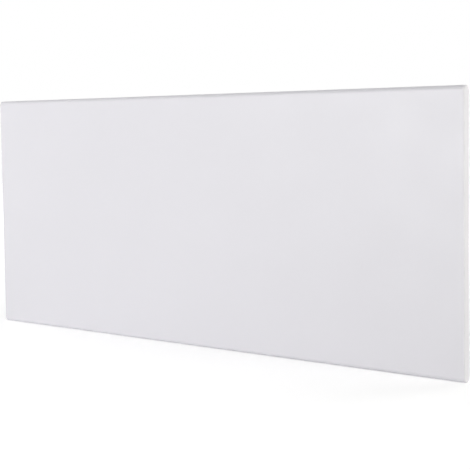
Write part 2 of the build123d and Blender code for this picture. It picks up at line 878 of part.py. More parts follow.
with BuildPart() as thermostat_knob:
    with BuildSketch(Plane.XY.offset(knob_bottom)):
        with Locations((knob_x, depth_middle_y)):
            RegularPolygon(knob_radius, knob_sides)
    extrude(amount=knob_height, taper=knob_taper)
    chamfer(thermostat_knob.faces().sort_by(Axis.Z)[-1].edges(), knob_slope)
    with BuildSketch(Plane.XY.offset(knob_bottom)):
        with Locations((knob_x, depth_middle_y)):
            RegularPolygon(knob_radius - knob_wall, knob_sides)
            Circle(knob_hub_radius, mode=Mode.SUBTRACT)
    extrude(amount=knob_height - knob_top, mode=Mode.SUBTRACT)
    with BuildSketch(Plane.XY.offset(knob_bottom)):
        with Locations((knob_x, depth_middle_y)):
            Circle(knob_hub_radius)
    extrude(amount=knob_hub_bottom - knob_bottom, mode=Mode.SUBTRACT)
    with BuildSketch(Plane.XY.offset(knob_hub_bottom)):
        add(flatted_circle(shaft_radius + shaft_gap))
    extrude(amount=shaft_top + shaft_end_gap - knob_hub_bottom, mode=Mode.SUBTRACT)
    with BuildSketch(Plane.XY.offset(knob_bottom + knob_height)):
        with Locations((knob_x, depth_middle_y)):
            Rectangle(
                pointer_width,
                knob_radius - knob_wall - knob_slope,
                align=(Align.CENTER, Align.MAX),
            )
    extrude(amount=pointer_height)
thermostat_knob.part.label = "thermostat_knob"
export_step(thermostat_knob.part, "parts/thermostat_knob.step")


# Indicator lamp: a lens with a sloped rim and a body below the bezel
with BuildPart() as indicator_lamp:
    with BuildSketch(Plane.XY.offset(plate_top)):
        with Locations((lamp_x, depth_middle_y)):
            Circle(lamp_flange_radius)
    extrude(amount=lamp_flange)
    chamfer(indicator_lamp.faces().sort_by(Axis.Z)[-1].edges(), lamp_slope)
    with BuildSketch(Plane.XY.offset(plate_top)):
        with Locations((lamp_x, depth_middle_y)):
            Circle(lamp_radius)
    extrude(amount=-lamp_depth)
indicator_lamp.part.label = "indicator_lamp"
export_step(indicator_lamp.part, "parts/indicator_lamp.step")


# Rocker switch: a housing with an open well, and the rocker on its two pins
with BuildPart() as switch_housing:
    with BuildSketch(Plane.XY.offset(plate_top)):
        with Locations((switch_x, depth_middle_y)):
            Rectangle(switch_width + 2 * switch_flange, switch_length + 2 * switch_flange)
    extrude(amount=switch_flange_height)
    chamfer(switch_housing.faces().sort_by(Axis.Z)[-1].edges(), switch_slope)
    with BuildSketch(Plane.XY.offset(switch_bottom)):
        with Locations((switch_x, depth_middle_y)):
            Rectangle(switch_width, switch_length)
    extrude(amount=plate_top - switch_bottom)
    with BuildSketch(Plane.XY.offset(switch_top)):
        with Locations((switch_x, depth_middle_y)):
            Rectangle(cavity_width, cavity_length)
    extrude(amount=-cavity_depth, mode=Mode.SUBTRACT)
    with BuildSketch(Plane.YZ.offset(switch_x - switch_width / 2)):
        with Locations((depth_middle_y, pivot_z)):
            Circle(rocker_pin_radius + rocker_pin_gap)
    extrude(amount=switch_width, mode=Mode.SUBTRACT)
    with BuildSketch(Plane.XY.offset(switch_bottom)):
        with Locations((switch_x, depth_middle_y)):
            with GridLocations(0, switch_tab_spacing, 1, 2):
                Rectangle(tab_width, tab_thickness)
    extrude(amount=-tab_length)
switch_housing.part.label = "switch_housing"
export_step(switch_housing.part, "parts/switch_housing.step")

rocker_plane = Plane(
    origin=(switch_x - rocker_width / 2, depth_middle_y, pivot_z),
    x_dir=Vector(0, 1, 0).rotate(Axis.X, -rocker_tilt),
    z_dir=(1, 0, 0),
)

with BuildPart() as switch_rocker:
    with BuildSketch(rocker_plane):
        with BuildLine():
            ThreePointArc(
                (-rocker_length / 2, rocker_end_rise),
                (0, rocker_middle_rise),
                (rocker_length / 2, rocker_end_rise),
            )
            Polyline(
                (rocker_length / 2, rocker_end_rise),
                (rocker_length / 2, 0),
                (rocker_keel_length / 2, -rocker_keel),
                (-rocker_keel_length / 2, -rocker_keel),
                (-rocker_length / 2, 0),
                (-rocker_length / 2, rocker_end_rise),
            )
        make_face()
        Circle(rocker_length / 2, mode=Mode.INTERSECT)
    extrude(amount=rocker_width)
    with BuildSketch(Plane.YZ.offset(switch_x - rocker_width / 2 - rocker_pin_reach)):
        with Locations((depth_middle_y, pivot_z)):
            Circle(rocker_pin_radius)
    extrude(amount=rocker_width + 2 * rocker_pin_reach)
switch_rocker.part.label = "switch_rocker"
export_step(switch_rocker.part, "parts/switch_rocker.step")


# Temperature sensor: a bulb near the bottom vents, its capillary, and the clips that hold it
sensor_x = pan_inner_x - sensor_standoff
sensor_top = sensor_z + sensor_length / 2
capillary_y = depth_middle_y + thermostat_width / 2 - capillary_inset

with BuildPart() as sensor_bulb:
    with BuildSketch(Plane.XY.offset(sensor_z - sensor_length / 2)):
        with Locations((sensor_x, sensor_y)):
            Circle(sensor_radius)
    extrude(amount=sensor_length)
    chamfer(sensor_bulb.faces().filter_by(Axis.Z).edges(), sensor_radius / 2)
sensor_bulb.part.label = "sensor_bulb"
export_step(sensor_bulb.part, "parts/sensor_bulb.step")

capillary_top = (knob_x, capillary_y, thermostat_bottom)

with BuildPart() as capillary_tube:
    add(
        lead(
            (
                capillary_top,
                (knob_x, capillary_y, thermostat_bottom - capillary_drop),
                (compartment_x, sensor_y, capillary_turn_z),
                (sensor_x, sensor_y, sensor_top + capillary_run),
                (sensor_x, sensor_y, sensor_top),
            ),
            capillary_radius,
            capillary_bend,
        )
    )
capillary_tube.part.label = "capillary_tube"
export_step(capillary_tube.part, "parts/capillary_tube.step")

with BuildPart() as sensor_clips:
    for side in (1, -1):
        with BuildSketch(Plane.XY.offset(sensor_z + side * clip_spacing / 2 - clip_height / 2)):
            with Locations((sensor_x, sensor_y)):
                Circle(sensor_radius + clip_gap + clip_sheet)
                Rectangle(sensor_standoff, clip_sheet, align=(Align.MIN, Align.CENTER))
            with Locations((pan_inner_x, sensor_y)):
                Rectangle(clip_sheet, clip_width, align=(Align.MAX, Align.CENTER))
            with Locations((sensor_x, sensor_y)):
                Circle(sensor_radius + clip_gap, mode=Mode.SUBTRACT)
        extrude(amount=clip_height)
sensor_clips.part.label = "sensor_clips"
export_step(sensor_clips.part, "parts/sensor_clips.step")


# Terminal block: a base strip with one tower for each pole, on the casing's inner back
block_length = block_pole_count * block_pole_pitch
block_hole_y = casing_inner_y - block_depth / 2
block_front_y = casing_inner_y - block_depth
block_top = block_z + block_height / 2
block_first_x = compartment_x - (block_pole_count - 1) * block_pole_pitch / 2
block_tops = [
    (block_first_x + pole * block_pole_pitch, block_hole_y, block_top) for pole in range(block_pole_count)
]

with BuildPart() as terminal_block:
    with BuildSketch(Plane.XZ.offset(-casing_inner_y)):
        with Locations((compartment_x, block_z)):
            Rectangle(block_length, block_height)
    extrude(amount=block_base)
    with BuildSketch(Plane.XZ.offset(-casing_inner_y)):
        with Locations((compartment_x, block_z)):
            with GridLocations(block_pole_pitch, 0, block_pole_count, 1):
                Rectangle(block_pole_width, block_height)
    extrude(amount=block_depth)
    with BuildSketch(Plane.XY.offset(block_z - block_height / 2)):
        with Locations((compartment_x, block_hole_y)):
            with GridLocations(block_pole_pitch, 0, block_pole_count, 1):
                Rectangle(block_hole_width, block_hole_width)
    extrude(amount=block_height, mode=Mode.SUBTRACT)
    with BuildSketch(Plane.XZ.offset(-block_front_y)):
        with Locations((compartment_x, block_z)):
            with GridLocations(block_pole_pitch, block_height / 2, block_pole_count, 2):
                Circle(block_well_radius)
    extrude(amount=-block_well_depth, mode=Mode.SUBTRACT)
    with BuildSketch(Plane.XZ.offset(-casing_inner_y)):
        with Locations((compartment_x, block_z)):
            Circle(screw_radius + screw_gap)
    extrude(amount=screw_length, mode=Mode.SUBTRACT)
terminal_block.part.label = "terminal_block"
export_step(terminal_block.part, "parts/terminal_block.step")

with BuildPart() as terminal_screws:
    with BuildSketch(Plane.XZ.offset(-block_front_y - block_well_depth)):
        with Locations((compartment_x, block_z)):
            with GridLocations(block_pole_pitch, block_height / 2, block_pole_count, 2):
                Circle(block_screw_radius)
    extrude(amount=block_screw_height)
terminal_screws.part.label = "terminal_screws"
export_step(terminal_screws.part, "parts/terminal_screws.step")


# Internal leads
switch_tab_end = switch_bottom - tab_length
thermostat_tab_end = thermostat_bottom - tab_length
switch_tabs = [
    (switch_x, depth_middle_y + side * switch_tab_spacing / 2, switch_tab_end) for side in (1, -1)
]
thermostat_tabs = [
    (knob_x + side * thermostat_tab_spacing / 2, thermostat_tab_y, thermostat_tab_end) for side in (1, -1)
]
cutout_tab_end = cutout_face_x + cutout_height + tab_length
cutout_tabs = [(cutout_tab_end, element_y + side * cutout_tab_spacing / 2, cutout_z) for side in (1, -1)]
live_top, neutral_top, earth_top = block_tops

with BuildPart() as live_lead:
    add(
        lead(
            (
                live_top,
                (live_top[0], live_top[1], riser_turn_z),
                (switch_tabs[0][0], switch_tabs[0][1], riser_join_z),
                switch_tabs[0],
            ),
            wire_radius,
            wire_bend,
        )
    )
live_lead.part.label = "live_lead"
export_step(live_lead.part, "parts/live_lead.step")

bridge_z = switch_tab_end - bridge_drop

with BuildPart() as switch_lead:
    add(
        lead(
            (
                switch_tabs[1],
                (switch_tabs[1][0], switch_tabs[1][1], bridge_z),
                (thermostat_tabs[0][0], thermostat_tabs[0][1], bridge_z),
                thermostat_tabs[0],
            ),
            wire_radius,
            wire_bend,
        )
    )
switch_lead.part.label = "switch_lead"
export_step(switch_lead.part, "parts/switch_lead.step")

with BuildPart() as thermostat_lead:
    add(
        lead(
            (
                thermostat_tabs[1],
                (thermostat_tabs[1][0], thermostat_tabs[1][1], (thermostat_tabs[1][2] + cutout_z) / 2),
                (thermostat_tabs[1][0], cutout_tabs[1][1], cutout_z),
                cutout_tabs[1],
            ),
            wire_radius,
            wire_short_bend,
        )
    )
thermostat_lead.part.label = "thermostat_lead"
export_step(thermostat_lead.part, "parts/thermostat_lead.step")

feed_x = divider_right_x + feed_offset
upper_pin_z = element_z + element_pitch / 2
lower_pin_z = element_z - element_pitch / 2

with BuildPart() as element_lead:
    add(
        lead(
            (
                cutout_tabs[0],
                (feed_x, cutout_tabs[0][1], cutout_z),
                (feed_x, element_y, upper_pin_z),
                (pin_end_x, element_y, upper_pin_z),
            ),
            wire_radius,
            wire_short_bend,
        )
    )
element_lead.part.label = "element_lead"
export_step(element_lead.part, "parts/element_lead.step")

with BuildPart() as neutral_lead:
    add(
        lead(
            (
                neutral_top,
                (neutral_top[0], neutral_top[1], neutral_top[2] + neutral_rise),
                (neutral_top[0], element_y, neutral_top[2] + neutral_rise),
                (neutral_top[0], element_y, lower_pin_z),
                (pin_end_x, element_y, lower_pin_z),
            ),
            wire_radius,
            wire_bend,
        )
    )
neutral_lead.part.label = "neutral_lead"
export_step(neutral_lead.part, "parts/neutral_lead.step")

earth_tongue_top = earth_z + earth_tongue_length
earth_wire_x = pan_inner_x - wire_radius - fit_gap

with BuildPart() as earth_lead:
    add(
        lead(
            (
                (earth_wire_x, depth_middle_y, earth_tongue_top),
                (earth_wire_x, depth_middle_y, earth_tongue_top + earth_rise),
                (earth_top[0], earth_top[1], earth_tongue_top + earth_rise),
                earth_top,
            ),
            wire_radius,
            wire_bend,
        )
    )
earth_lead.part.label = "earth_lead"
export_step(earth_lead.part, "parts/earth_lead.step")

with BuildPart() as earth_lug:
    with BuildSketch(Plane.YZ.offset(pan_inner_x)):
        with Locations(earth_place):
            Circle(earth_lug_radius)
            Rectangle(earth_tongue_width, earth_tongue_length, align=(Align.CENTER, Align.MIN))
            Circle(screw_radius + screw_gap, mode=Mode.SUBTRACT)
    extrude(amount=-earth_lug_thickness)
earth_lug.part.label = "earth_lug"
export_step(earth_lug.part, "parts/earth_lug.step")


# Cable inlet: a rubber bush with a snap lip inside the right-hand pan
with BuildPart() as cable_inlet:
    with BuildSketch(Plane.YZ.offset(casing_end)):
        with Locations(inlet_place):
            Circle(inlet_flange_radius)
    extrude(amount=inlet_flange)
    with BuildSketch(Plane.YZ.offset(casing_end)):
        with Locations(inlet_place):
            Circle(inlet_neck_radius)
    extrude(amount=inlet_flange - inlet_length)
    with BuildSketch(Plane.YZ.offset(pan_inner_x - inlet_gap)):
        with Locations(inlet_place):
            Circle(inlet_neck_radius + inlet_lip_rise)
    extrude(amount=-inlet_flange, taper=inlet_lip_taper)
    with BuildSketch(Plane.YZ.offset(casing_end + inlet_flange)):
        with Locations(inlet_place):
            Circle(inlet_bore)
    extrude(amount=-inlet_length, mode=Mode.SUBTRACT)
cable_inlet.part.label = "cable_inlet"
export_step(cable_inlet.part, "parts/cable_inlet.step")


# Screws: each group seats on the sheet that its heads hold
with BuildPart() as panel_screws:
    add(screw_group(Plane.XZ.offset(-flange_y), panel_screw_places))
panel_screws.part.label = "panel_screws"
export_step(panel_screws.part, "parts/panel_screws.step")

with BuildPart() as casing_screws:
    add(screw_group(Plane.XZ.offset(-casing_y), casing_screw_places))
casing_screws.part.label = "casing_screws"
export_step(casing_screws.part, "parts/casing_screws.step")


def inward_plane(level_x):
    """Plane whose normal is -X, with local coordinates (Z, Y)."""
    return Plane(origin=(level_x, 0, 0), x_dir=(0, 0, 1), z_dir=(-1, 0, 0))


cutout_screw_places = [(cutout_z + side * cutout_screw_spacing / 2, element_y) for side in (1, -1)]

with BuildPart() as cutout_screws:
    add(screw_group(inward_plane(cutout_face_x), cutout_screw_places))
cutout_screws.part.label = "cutout_screws"
export_step(cutout_screws.part, "parts/cutout_screws.step")

with BuildPart() as earth_screw:
    add(screw_group(inward_plane(casing_end), [(earth_z, depth_middle_y)]))
earth_screw.part.label = "earth_screw"
export_step(earth_screw.part, "parts/earth_screw.step")


# Wall bracket: channel uprights whose flanges end in hooks
web_middle_y = upright_back_y - bracket_sheet / 2
spring_rivet_z = -spring_foot
rivet_places = [
    (place, level * crossbar_spacing / 2) for place in upright_places for level in (1, -1)
]


def upright(place):
    """Channel open to the front, with a hook at each level on both of its flanges."""
    with BuildPart() as channel:
        with BuildSketch(Plane.XY.offset(-upright_height / 2)):
            with BuildLine():
                FilletPolyline(
                    (place - hook_side, upright_front_y),
                    (place - hook_side, web_middle_y),
                    (place + hook_side, web_middle_y),
                    (place + hook_side, upright_front_y),
                    radius=bracket_bend,
                )
            trace(line_width=bracket_sheet)
        extrude(amount=upright_height)
        fillet(channel.edges().filter_by(Axis.X).group_by(Axis.Y)[0], bracket_corner)
        for level in hook_levels:
            for side in (1, -1):
                with BuildSketch(Plane.YZ.offset(place + side * hook_side - bracket_sheet / 2)) as hook:
                    with BuildLine():
                        Polyline(
                            (upright_front_y + bracket_sheet, level),
                            (hook_back_y, level),
                            (hook_back_y, level + hook_rise),
                            (hook_front_y, level + hook_rise),
                            (hook_front_y, level - hook_neck),
                            (upright_front_y + bracket_sheet, level - hook_neck),
                            close=True,
                        )
                    make_face()
                    chamfer(hook.vertices().group_by(Axis.X)[0], hook_slope)
                extrude(amount=bracket_sheet)
        with BuildSketch(Plane.XZ.offset(-upright_back_y)):
            with Locations(*rivet_places):
                Circle(rivet_radius + rivet_gap)
            with Locations((place, spring_rivet_z)):
                Circle(spring_rivet_radius + rivet_gap)
        extrude(amount=bracket_sheet, mode=Mode.SUBTRACT)
    return channel.part


with BuildPart() as left_upright:
    add(upright(upright_places[0]))
left_upright.part.label = "left_upright"
export_step(left_upright.part, "parts/left_upright.step")

with BuildPart() as right_upright:
    add(upright(upright_places[1]))
right_upright.part.label = "right_upright"
export_step(right_upright.part, "parts/right_upright.step")


# Crossbars: flat bars on the wall, slotted for the wall screws
def crossbar(level):
    """Bar at one level, with a slot for each wall screw and holes for the rivets."""
    with BuildPart() as bar:
        with BuildSketch(Plane.XZ):
            with Locations((0, level)):
                RectangleRounded(
                    upright_spacing + upright_width + 2 * crossbar_overhang,
                    crossbar_height,
                    bracket_corner,
                )
                with GridLocations(wall_screw_spacing, 0, 2, 1):
                    SlotOverall(wall_slot_length, wall_slot_width, mode=Mode.SUBTRACT)
            with Locations(*rivet_places):
                Circle(rivet_radius + rivet_gap, mode=Mode.SUBTRACT)
        extrude(amount=bracket_sheet)
    return bar.part


with BuildPart() as upper_crossbar:
    add(crossbar(crossbar_spacing / 2))
upper_crossbar.part.label = "upper_crossbar"
export_step(upper_crossbar.part, "parts/upper_crossbar.step")

with BuildPart() as lower_crossbar:
    add(crossbar(-crossbar_spacing / 2))
lower_crossbar.part.label = "lower_crossbar"
export_step(lower_crossbar.part, "parts/lower_crossbar.step")

with BuildPart() as bracket_rivets:
    add(
        rivet_group(
            web_front_y,
            rivet_places,
            rivet_radius,
            -web_front_y,
            rivet_head_radius,
            rivet_head_height,
        )
    )
bracket_rivets.part.label = "bracket_rivets"
export_step(bracket_rivets.part, "parts/bracket_rivets.step")


# Leaf springs: bent strips inside the uprights that bear on the back of the casing
spring_foot_y = web_front_y - spring_sheet / 2
spring_nose_y = casing_y + fit_gap + spring_sheet / 2
spring_rivet_places = [(place, spring_rivet_z) for place in upright_places]

with BuildPart() as bracket_springs:
    for place in upright_places:
        add(
            folded_sheet(
                (
                    (spring_foot_y, -3 * spring_foot / 2),
                    (spring_foot_y, -spring_foot / 2),
                    (spring_nose_y, spring_rise - spring_foot / 2),
                    (spring_nose_y, spring_rise + spring_nose - spring_foot / 2),
                    (spring_nose_y + spring_tail, spring_rise + spring_nose + spring_tail - spring_foot / 2),
                ),
                spring_sheet,
                spring_bend,
                place - spring_width / 2,
                spring_width,
            )
        )
    with BuildSketch(Plane.XZ.offset(-web_front_y)):
        with Locations(*spring_rivet_places):
            Circle(spring_rivet_radius + rivet_gap)
    extrude(amount=spring_sheet, mode=Mode.SUBTRACT)
bracket_springs.part.label = "bracket_springs"
export_step(bracket_springs.part, "parts/bracket_springs.step")

with BuildPart() as spring_rivets:
    add(
        rivet_group(
            web_front_y - spring_sheet,
            spring_rivet_places,
            spring_rivet_radius,
            spring_sheet + bracket_sheet,
            spring_rivet_head_radius,
            spring_rivet_head,
        )
    )
spring_rivets.part.label = "spring_rivets"
export_step(spring_rivets.part, "parts/spring_rivets.step")
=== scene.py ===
import json
from math import cos, radians, sin

import bpy
from mathutils import Euler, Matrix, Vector


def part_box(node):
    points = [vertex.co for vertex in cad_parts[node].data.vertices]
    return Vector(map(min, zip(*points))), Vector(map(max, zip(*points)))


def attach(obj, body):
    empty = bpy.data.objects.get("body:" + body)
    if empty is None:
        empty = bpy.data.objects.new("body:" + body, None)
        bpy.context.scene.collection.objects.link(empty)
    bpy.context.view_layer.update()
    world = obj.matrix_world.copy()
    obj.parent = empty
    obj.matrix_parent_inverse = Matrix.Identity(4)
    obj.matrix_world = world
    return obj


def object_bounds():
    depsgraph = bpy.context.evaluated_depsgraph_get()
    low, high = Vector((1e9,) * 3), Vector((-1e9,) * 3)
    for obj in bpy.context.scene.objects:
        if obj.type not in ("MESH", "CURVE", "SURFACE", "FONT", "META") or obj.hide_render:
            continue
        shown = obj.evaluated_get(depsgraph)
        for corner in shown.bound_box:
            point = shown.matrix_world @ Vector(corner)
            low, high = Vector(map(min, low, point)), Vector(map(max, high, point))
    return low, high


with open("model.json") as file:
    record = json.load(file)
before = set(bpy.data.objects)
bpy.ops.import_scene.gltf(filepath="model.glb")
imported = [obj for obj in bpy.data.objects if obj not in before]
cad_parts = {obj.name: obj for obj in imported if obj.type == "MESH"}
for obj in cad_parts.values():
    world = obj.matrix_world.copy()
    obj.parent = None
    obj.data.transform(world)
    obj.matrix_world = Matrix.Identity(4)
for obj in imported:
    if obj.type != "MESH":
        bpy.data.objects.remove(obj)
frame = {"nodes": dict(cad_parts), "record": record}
cad_low, cad_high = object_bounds()
nodes = frame["nodes"]
scene = bpy.context.scene

# Camera at the photograph's place: position in metres, turn in degrees, lens and sensor in millimetres
CAMERA_PLACE = (1.6313, -1.6679, 0.1496)
CAMERA_TURN = (85.681, 0.812, 44.29)
CAMERA_LENS = 110.43
CAMERA_SENSOR = 36.0

# Colours, as linear red, green and blue
PANEL_WHITE = (0.80, 0.79, 0.83)
CASING_WHITE = (0.74, 0.735, 0.76)
CONTROL_WHITE = (0.76, 0.76, 0.77)
ROCKER_WHITE = (0.72, 0.72, 0.72)
GRILLE_WHITE = (0.70, 0.70, 0.71)
BLOCK_IVORY = (0.66, 0.64, 0.58)
DARK_GREY = (0.030, 0.030, 0.032)
INK_GREY = (0.06, 0.06, 0.065)
ZINC = (0.50, 0.51, 0.525)
SCREW_ZINC = (0.50, 0.50, 0.51)
SCREW_YELLOW = (0.53, 0.51, 0.46)
SHEET_ALUMINIUM = (0.80, 0.81, 0.82)
EXTRUDED_ALUMINIUM = (0.70, 0.71, 0.72)
SPRING_BLUE = (0.35, 0.37, 0.42)
BRASS = (0.72, 0.52, 0.22)
COPPER = (0.75, 0.36, 0.22)
GLAZE_LIGHT = (0.80, 0.77, 0.70)
GLAZE_PORE = (0.62, 0.58, 0.50)
LENS_RED = (0.80, 0.10, 0.04)
LENS_DEEP = (0.50, 0.03, 0.01)
INLET_WHITE = (0.68, 0.68, 0.68)
INLET_BLOOM = (0.58, 0.575, 0.56)
LEAD_BROWN = (0.13, 0.055, 0.025)
LEAD_BLUE = (0.03, 0.12, 0.42)
LEAD_GREEN = (0.03, 0.22, 0.05)
LEAD_YELLOW = (0.75, 0.60, 0.04)
SHEATH_SCALE = (0.12, 0.12, 0.12)

# Heat tints along the element's sheath, each with its place on the colour ramp
HEAT_TINTS = (
    (0.30, (0.30, 0.30, 0.31)),
    (0.45, (0.36, 0.30, 0.20)),
    (0.58, (0.22, 0.15, 0.12)),
    (0.72, (0.13, 0.14, 0.19)),
)

# Scales of the object's coordinates; a number below 1 draws a texture out along that axis
ROLLED_UP = (1, 1, 0.03)
BRUSHED_ALONG = (0.02, 1, 1)
EXTRUDED_ALONG = (0.01, 1, 1)
TURNED_UP = (1, 1, 0.1)
DRAWN_UP = (1, 1, 0.05)
BANDED_ALONG = (1, 0.2, 0.2)

# The range that holds most values of a noise texture
NOISE_LOW = 0.3
NOISE_HIGH = 0.7


# Node helpers
def new_material(name):
    """A node material, its tree and its Principled shader."""
    made = bpy.data.materials.new(name)
    made.use_nodes = True
    tree = made.node_tree
    return made, tree, tree.nodes["Principled BSDF"]


def add_node(tree, kind, **properties):
    """A node of a kind, with its properties set by name."""
    node = tree.nodes.new(kind)
    for name, value in properties.items():
        setattr(node, name, value)
    return node


def surface_points(tree, stretch=(1, 1, 1)):
    """The object's own coordinates in metres, scaled along each axis."""
    place = add_node(tree, "ShaderNodeTexCoord")
    mapping = add_node(tree, "ShaderNodeMapping")
    mapping.inputs["Scale"].default_value = stretch
    tree.links.new(place.outputs["Object"], mapping.inputs["Vector"])
    return mapping.outputs["Vector"]


def noise(tree, points, cells, detail=3, rough=0.5):
    """Noise over the given points, with so many cells for each metre."""
    node = add_node(tree, "ShaderNodeTexNoise")
    node.inputs["Scale"].default_value = cells
    node.inputs["Detail"].default_value = detail
    node.inputs["Roughness"].default_value = rough
    tree.links.new(points, node.inputs["Vector"])
    return node.outputs["Fac"]


def voronoi(tree, points, cells):
    """A Voronoi texture over the given points, with so many cells for each metre."""
    node = add_node(tree, "ShaderNodeTexVoronoi")
    node.inputs["Scale"].default_value = cells
    tree.links.new(points, node.inputs["Vector"])
    return node


def ranged(tree, value, low, high, start=NOISE_LOW, end=NOISE_HIGH):
    """A value moved from the range start to end into the range low to high."""
    node = add_node(tree, "ShaderNodeMapRange")
    node.inputs["From Min"].default_value = start
    node.inputs["From Max"].default_value = end
    node.inputs["To Min"].default_value = low
    node.inputs["To Max"].default_value = high
    tree.links.new(value, node.inputs["Value"])
    return node.outputs["Result"]


def blended(tree, factor, first, second):
    """A colour between two colours; each is a colour or a node's output."""
    node = add_node(tree, "ShaderNodeMix", data_type="RGBA")
    tree.links.new(factor, node.inputs["Factor"])
    for socket, colour in (("A", first), ("B", second)):
        target = next(s for s in node.inputs if s.name == socket and s.type == "RGBA")
        if isinstance(colour, tuple):
            target.default_value = (*colour, 1)
        else:
            tree.links.new(colour, target)
    return next(s for s in node.outputs if s.type == "RGBA")


def ramp(tree, value, stops):
    """A colour ramp over a value, with its stops given as (place, colour)."""
    node = add_node(tree, "ShaderNodeValToRGB")
    elements = node.color_ramp.elements
    while len(elements) < len(stops):
        elements.new(0.5)
    for element, (place, colour) in zip(elements, stops):
        element.position = place
        element.color = (*colour, 1)
    tree.links.new(value, node.inputs["Fac"])
    return node.outputs["Color"]


def bumped(tree, shader, layers):
    """Bump from several (height, distance in metres, strength) layers, one on top of the other."""
    last = None
    for height, distance, strength in layers:
        node = add_node(tree, "ShaderNodeBump")
        node.inputs["Distance"].default_value = distance
        node.inputs["Strength"].default_value = strength
        tree.links.new(height, node.inputs["Height"])
        if last is not None:
            tree.links.new(last, node.inputs["Normal"])
        last = node.outputs["Normal"]
    tree.links.new(last, shader.inputs["Normal"])


def dressed(tree, shader, tone, rough):
    """Links a shader's colour and roughness to the nodes that paint them."""
    tree.links.new(tone, shader.inputs["Base Color"])
    tree.links.new(rough, shader.inputs["Roughness"])


def shade(colour, amount):
    """A colour made darker or lighter by a factor."""
    return tuple(min(1, c * amount) for c in colour)


# Finishes. Cells are counted for each metre, and bump distances are in metres.
def powder_coat(name, colour, rough=0.42):
    """Semi-matt powder coat: fine orange peel, slight tone drift and a dust of finer grain."""
    made, tree, shader = new_material(name)
    points = surface_points(tree)
    drift = noise(tree, points, cells=2.4, detail=2)
    grain = noise(tree, points, cells=2600, detail=1)
    patches = noise(tree, points, cells=14, detail=4)
    peel = noise(tree, points, cells=420, detail=2)
    fine_peel = noise(tree, points, cells=1500, detail=2)
    tone = blended(tree, ranged(tree, drift, 0, 1), shade(colour, 0.985), shade(colour, 1.01))
    tone = blended(tree, ranged(tree, grain, 0, 0.35), tone, shade(colour, 0.97))
    dressed(tree, shader, tone, ranged(tree, patches, rough - 0.03, rough + 0.05))
    bumped(tree, shader, [(peel, 0.0003, 0.10), (fine_peel, 0.0001, 0.10)])
    shader.inputs["Specular IOR Level"].default_value = 0.45
    return made


def plated_steel(name, colour, rough=0.4, spangle=330):
    """Zinc-plated or galvanised sheet with faint crystal patches and rolling lines."""
    made, tree, shader = new_material(name)
    points = surface_points(tree)
    crystals = voronoi(tree, points, spangle)
    split = add_node(tree, "ShaderNodeSeparateColor")
    tree.links.new(crystals.outputs["Color"], split.inputs["Color"])
    flake = split.outputs["Red"]
    lines = noise(tree, surface_points(tree, ROLLED_UP), cells=2200, detail=2)
    dull = noise(tree, points, cells=9, detail=4)
    grain = noise(tree, points, cells=900, detail=2)
    tone = blended(tree, flake, shade(colour, 0.95), shade(colour, 1.03))
    tone = blended(tree, ranged(tree, dull, 0, 0.35), tone, shade(colour, 0.84))
    dressed(tree, shader, tone, ranged(tree, flake, rough - 0.03, rough + 0.05, start=0, end=1))
    bumped(tree, shader, [(lines, 0.00005, 0.25), (grain, 0.00005, 0.2)])
    shader.inputs["Metallic"].default_value = 1
    return made


def drawn_metal(name, colour, rough, stretch, depth):
    """Metal drawn, extruded or brushed along one axis, with fine lines and a few stains."""
    made, tree, shader = new_material(name)
    points = surface_points(tree)
    lines = noise(tree, surface_points(tree, stretch), cells=1800, detail=3, rough=0.6)
    stains = noise(tree, points, cells=25, detail=4)
    tone = blended(tree, ranged(tree, lines, 0, 1), shade(colour, 0.86), shade(colour, 1.06))
    tone = blended(tree, ranged(tree, stains, 0, 0.3, start=0.45, end=0.75), tone, shade(colour, 0.72))
    dressed(tree, shader, tone, ranged(tree, lines, rough - 0.07, rough + 0.1))
    bumped(tree, shader, [(lines, 0.00006, depth)])
    shader.inputs["Metallic"].default_value = 1
    return made


def heated_steel(name):
    """Sheath of a heating element: dull steel with straw, brown and blue heat tints along it."""
    made, tree, shader = new_material(name)
    bands = noise(tree, surface_points(tree, BANDED_ALONG), cells=16, detail=3)
    grain = noise(tree, surface_points(tree), cells=1600, detail=3)
    tint = ramp(tree, bands, HEAT_TINTS)
    tone = blended(tree, ranged(tree, grain, 0, 0.5), tint, SHEATH_SCALE)
    dressed(tree, shader, tone, ranged(tree, grain, 0.38, 0.58))
    bumped(tree, shader, [(grain, 0.00008, 0.35)])
    shader.inputs["Metallic"].default_value = 0.9
    return made


def moulded(name, colour, rough=0.5, grain=1400, depth=0.3, soft=0.0):
    """Moulded plastic with a spark-eroded texture and slight tone and gloss drift."""
    made, tree, shader = new_material(name)
    points = surface_points(tree)
    fine = noise(tree, points, cells=grain, detail=2)
    drift = noise(tree, points, cells=18, detail=3)
    waves = noise(tree, points, cells=60, detail=2)
    tone = blended(tree, ranged(tree, drift, 0, 1), shade(colour, 0.96), shade(colour, 1.03))
    tone = blended(tree, ranged(tree, fine, 0, 0.3), tone, shade(colour, 0.9))
    dressed(tree, shader, tone, ranged(tree, fine, rough - 0.05, rough + 0.1))
    bumped(tree, shader, [(fine, 0.00006, depth), (waves, 0.0003, 0.05)])
    shader.inputs["Subsurface Weight"].default_value = soft
    shader.inputs["Subsurface Scale"].default_value = 0.001
    return made


def fired_ceramic(name):
    """Glazed ceramic with pores that show through and duller patches of glaze."""
    made, tree, shader = new_material(name)
    points = surface_points(tree)
    pores = noise(tree, points, cells=1900, detail=4, rough=0.7)
    patches = noise(tree, points, cells=90, detail=3)
    tone = blended(tree, ranged(tree, pores, 0, 1), GLAZE_PORE, GLAZE_LIGHT)
    dressed(tree, shader, tone, ranged(tree, patches, 0.16, 0.4))
    bumped(tree, shader, [(pores, 0.00008, 0.25)])
    return made


